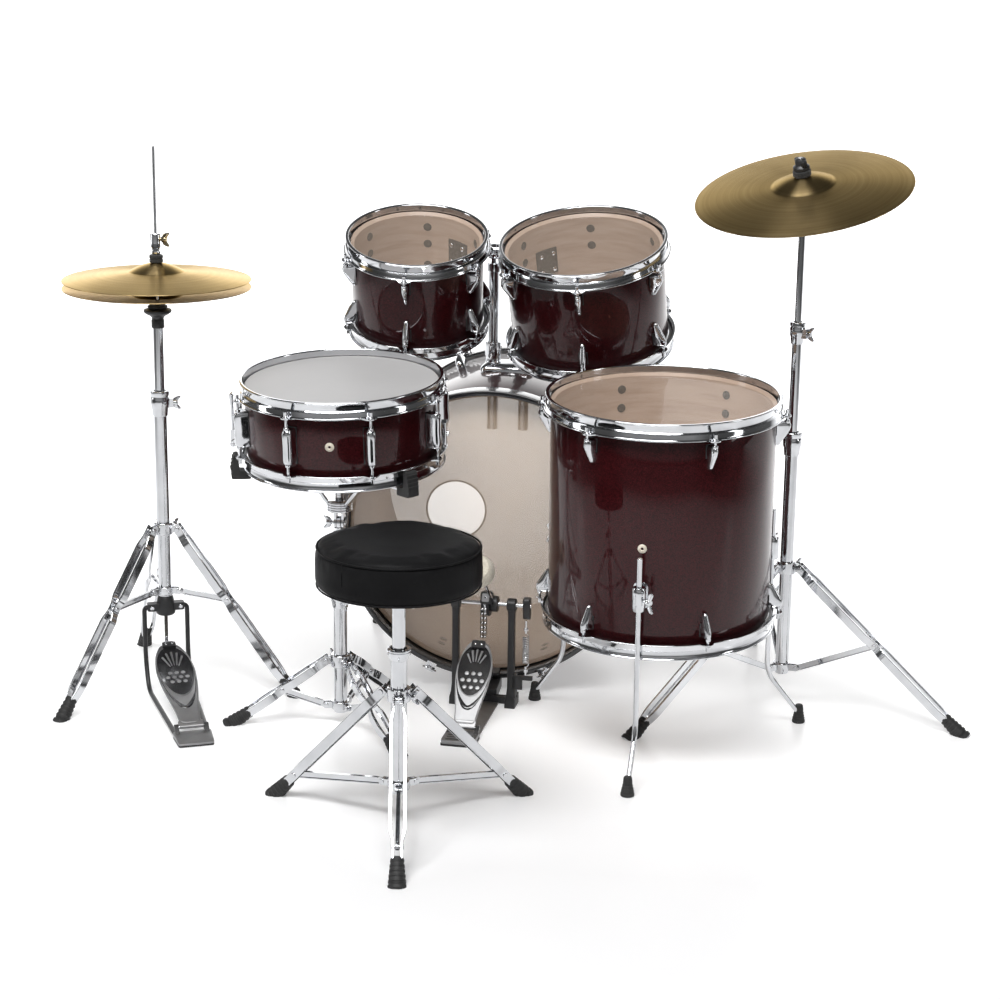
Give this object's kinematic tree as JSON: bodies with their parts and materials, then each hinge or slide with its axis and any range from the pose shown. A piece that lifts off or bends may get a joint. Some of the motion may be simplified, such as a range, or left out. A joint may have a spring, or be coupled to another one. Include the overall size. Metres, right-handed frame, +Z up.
{
  "type": "acoustic drum kit",
  "caption": "Acoustic drum kit with hanging toms, floor tom, snare, bass drum and pedal, hi-hat, crash cymbal and round throne, in playing position.",
  "frame": {"origin": "middle of the kit's bounding box, on the floor", "axes": "+X to the player's right, along the kit's longest side; +Y away from the player, along the bass drum; +Z up"},
  "size_m": [1.7454, 1.4171, 1.0709],
  "materials": {
    "wine_wrap": "high gloss covering",
    "chrome": "polished",
    "clear_film": "clear",
    "coated_film": "coated",
    "black_lacquer": "gloss",
    "bronze": "lathed",
    "black_casting": "satin powder coat",
    "satin_plate": "satin",
    "seat_vinyl": "grained vinyl",
    "rubber": "matt",
    "felt": "pressed felt",
    "wood": "clear coat"
  },
  "bodies": {
    "kit": {"bass_shell": "wine_wrap", "bass_hoops": "black_lacquer", "bass_heads": "clear_film", "bass_lugs": "chrome", "tom_mount": "chrome", "pedal_frame": "black_casting", "floor_tom_shell": "wine_wrap", "floor_tom_hoops": "chrome", "floor_tom_heads": "clear_film", "floor_tom_lugs": "chrome", "snare_stand_base": "chrome", "hihat_stand_base": "chrome", "hihat_pedal_frame": "black_casting", "crash_base_tube": "chrome", "throne_base": "chrome"},
    "left_spur": {"bass_spur_left": "chrome"},
    "right_spur": {"bass_spur_right": "chrome"},
    "pedal_board": {"pedal_footboard": "satin_plate", "pedal_chain": "chrome"},
    "pedal_beater": {"pedal_beater": "chrome", "pedal_spring": "chrome"},
    "small_tom_post": {"small_tom_post": "chrome"},
    "small_tom": {"small_tom_shell": "wine_wrap", "small_tom_hoops": "chrome", "small_tom_heads": "clear_film", "small_tom_lugs": "chrome"},
    "medium_tom_post": {"medium_tom_post": "chrome"},
    "medium_tom": {"medium_tom_shell": "wine_wrap", "medium_tom_hoops": "chrome", "medium_tom_heads": "clear_film", "medium_tom_lugs": "chrome"},
    "floor_leg_1": {"floor_tom_leg_1": "chrome"},
    "floor_leg_2": {"floor_tom_leg_2": "chrome"},
    "floor_leg_3": {"floor_tom_leg_3": "chrome"},
    "snare_post": {"snare_stand_post": "chrome"},
    "snare": {"snare_basket": "chrome", "snare_shell": "wine_wrap", "snare_hoops": "chrome", "snare_heads": "coated_film", "snare_lugs": "chrome", "snare_wires": "chrome"},
    "snare_lever": {"snare_throwoff": "chrome"},
    "hihat_board": {"hihat_footboard": "satin_plate"},
    "hihat_rod": {"hihat_rod": "chrome"},
    "hihat_tube": {"hihat_tube": "chrome", "hihat_bottom_cymbal": "bronze"},
    "hihat_top": {"hihat_top_cymbal": "bronze"},
    "crash_collar": {"crash_collar": "chrome"},
    "crash_leg_1": {"crash_leg_1": "chrome"},
    "crash_leg_2": {"crash_leg_2": "chrome"},
    "crash_leg_3": {"crash_leg_3": "chrome"},
    "crash_strut_1": {"crash_strut_1": "chrome"},
    "crash_strut_2": {"crash_strut_2": "chrome"},
    "crash_strut_3": {"crash_strut_3": "chrome"},
    "crash_middle": {"crash_middle_tube": "chrome"},
    "crash_top": {"crash_top_tube": "chrome"},
    "crash_tilter": {"crash_tilter": "chrome"},
    "crash_cymbal": {"crash_cymbal": "bronze"},
    "throne_post": {"throne_post": "chrome"},
    "throne_seat": {"throne_seat": "seat_vinyl"}
  },
  "joints": [
    {"name": "left_spur_fold", "type": "hinge", "parent": "kit", "child": "left_spur", "pos_m": [-0.30714, 0.56966, 0.12736], "axis": [-0.9272, 0, 0.3746], "range_deg": [0, 112]},
    {"name": "right_spur_fold", "type": "hinge", "parent": "kit", "child": "right_spur", "pos_m": [0.17576, 0.56966, 0.12736], "axis": [-0.9272, 0, -0.3746], "range_deg": [0, 112]},
    {"name": "pedal_press", "type": "hinge", "parent": "kit", "child": "pedal_board", "pos_m": [-0.07383, -0.01892, 0.016], "axis": [-0.9976, 0.0698, 0], "range_deg": [0, 14], "stiffness_Nm_per_rad": 3, "springref_deg": -20.05, "deforming": ["pedal_chain"]},
    {"name": "pedal_beater_swing", "type": "hinge", "parent": "kit", "child": "pedal_beater", "pos_m": [-0.06169, 0.15466, 0.207], "axis": [-0.9976, 0.0698, 0], "range_deg": [0, 78.4], "deforming": ["pedal_spring"]},
    {"name": "small_tom_height", "type": "slide", "parent": "kit", "child": "small_tom_post", "axis": [0, 0, 1], "range_m": [0, 0.09]},
    {"name": "small_tom_tilt", "type": "hinge", "parent": "small_tom_post", "child": "small_tom", "pos_m": [-0.09569, 0.50466, 0.835], "axis": [-1, 0, 0], "range_deg": [0, 16]},
    {"name": "medium_tom_height", "type": "slide", "parent": "kit", "child": "medium_tom_post", "axis": [0, 0, 1], "range_m": [0, 0.09]},
    {"name": "medium_tom_tilt", "type": "hinge", "parent": "medium_tom_post", "child": "medium_tom", "pos_m": [-0.03269, 0.50466, 0.835], "axis": [-1, 0, 0], "range_deg": [0, 16]},
    {"name": "floor_leg_1_height", "type": "slide", "parent": "kit", "child": "floor_leg_1", "axis": [0, -0.0436, 0.999], "range_m": [-0.03, 0.15]},
    {"name": "floor_leg_2_height", "type": "slide", "parent": "kit", "child": "floor_leg_2", "axis": [0, -0.0436, 0.999], "range_m": [-0.03, 0.15]},
    {"name": "floor_leg_3_height", "type": "slide", "parent": "kit", "child": "floor_leg_3", "axis": [0, -0.0436, 0.999], "range_m": [-0.03, 0.15]},
    {"name": "snare_height", "type": "slide", "parent": "kit", "child": "snare_post", "axis": [0, 0, 1], "range_m": [-0.045, 0]},
    {"name": "snare_tilt", "type": "hinge", "parent": "snare_post", "child": "snare", "pos_m": [-0.31569, 0.01366, 0.395], "axis": [1, 0, 0], "range_deg": [0, 12]},
    {"name": "snare_throwoff", "type": "hinge", "parent": "snare", "child": "snare_lever", "pos_m": [-0.51178, 0.00533, 0.5419], "axis": [0.0623, -0.9957, -0.0686], "range_deg": [0, 80]},
    {"name": "hihat_press", "type": "hinge", "parent": "kit", "child": "hihat_board", "pos_m": [-0.57695, -0.10189, 0.018], "axis": [-0.9107, -0.4131, 0], "range_deg": [0, 2.75], "stiffness_Nm_per_rad": 24, "springref_deg": -17.19},
    {"name": "hihat_pull", "type": "slide", "parent": "kit", "child": "hihat_rod", "axis": [0, 0, -1], "range_m": [0, 0.0129]},
    {"name": "hihat_height", "type": "slide", "parent": "kit", "child": "hihat_tube", "axis": [0, 0, 1], "range_m": [-0.11, 0.1]},
    {"name": "hihat_clutch_height", "type": "slide", "parent": "hihat_rod", "child": "hihat_top", "axis": [0, 0, 1], "range_m": [-0.11, 0.1]},
    {"name": "crash_fold", "type": "slide", "parent": "kit", "child": "crash_collar", "axis": [0, 0, 1], "range_m": [0, 0.17192]},
    {"name": "crash_leg_1_fold", "type": "hinge", "parent": "crash_collar", "child": "crash_leg_1", "pos_m": [0.54159, 0.24465, 0.28], "axis": [0.3338, 0.9426, 0], "range_deg": [0, 49.95]},
    {"name": "crash_strut_1_fold", "type": "hinge", "parent": "kit", "child": "crash_strut_1", "pos_m": [0.54159, 0.24465, 0.078], "axis": [-0.3338, -0.9426, 0], "range_deg": [0, 65.33]},
    {"name": "crash_leg_2_fold", "type": "hinge", "parent": "crash_collar", "child": "crash_leg_2", "pos_m": [0.50784, 0.28416, 0.28], "axis": [-0.9833, -0.1822, 0], "range_deg": [0, 49.95]},
    {"name": "crash_strut_2_fold", "type": "hinge", "parent": "kit", "child": "crash_strut_2", "pos_m": [0.50784, 0.28416, 0.078], "axis": [0.9833, 0.1822, 0], "range_deg": [0, 65.33]},
    {"name": "crash_leg_3_fold", "type": "hinge", "parent": "crash_collar", "child": "crash_leg_3", "pos_m": [0.4905, 0.23518, 0.28], "axis": [0.6494, -0.7604, 0], "range_deg": [0, 49.95]},
    {"name": "crash_strut_3_fold", "type": "hinge", "parent": "kit", "child": "crash_strut_3", "pos_m": [0.4905, 0.23518, 0.078], "axis": [-0.6494, 0.7604, 0], "range_deg": [0, 65.33]},
    {"name": "crash_low_height", "type": "slide", "parent": "kit", "child": "crash_middle", "axis": [0, 0, 1], "range_m": [-0.14, 0.11]},
    {"name": "crash_high_height", "type": "slide", "parent": "crash_middle", "child": "crash_top", "axis": [0, 0, 1], "range_m": [-0.14, 0.11]},
    {"name": "crash_tilt", "type": "hinge", "parent": "crash_top", "child": "crash_tilter", "pos_m": [0.52023, 0.26685, 0.958], "axis": [0.8695, -0.4939, 0], "range_deg": [-17.3, 20]},
    {"name": "crash_spin", "type": "hinge", "parent": "crash_tilter", "child": "crash_cymbal", "pos_m": [0.52023, 0.26685, 0.958], "axis": [-0.1469, -0.2586, 0.9548], "continuous": true},
    {"name": "throne_height", "type": "slide", "parent": "kit", "child": "throne_post", "axis": [0, 0, 1], "range_m": [-0.075, 0.105]},
    {"name": "throne_swivel", "type": "hinge", "parent": "throne_post", "child": "throne_seat", "pos_m": [-0.12369, -0.44234, 0.422], "axis": [0, 0, 1], "continuous": true}
  ],
  "couplings": [
    {"joint": "pedal_beater_swing", "follows": "pedal_press", "ratio": 5.6},
    {"joint": "hihat_pull", "follows": "hihat_press", "m_per_rad": 0.267},
    {"joint": "hihat_clutch_height", "follows": "hihat_height", "ratio": 1},
    {"joint": "crash_leg_1_fold", "follows": "crash_fold", "rad_per_m": 5.07},
    {"joint": "crash_strut_1_fold", "follows": "crash_fold", "rad_per_m": 6.6314},
    {"joint": "crash_leg_2_fold", "follows": "crash_fold", "rad_per_m": 5.07},
    {"joint": "crash_strut_2_fold", "follows": "crash_fold", "rad_per_m": 6.6314},
    {"joint": "crash_leg_3_fold", "follows": "crash_fold", "rad_per_m": 5.07},
    {"joint": "crash_strut_3_fold", "follows": "crash_fold", "rad_per_m": 6.6314}
  ]
}
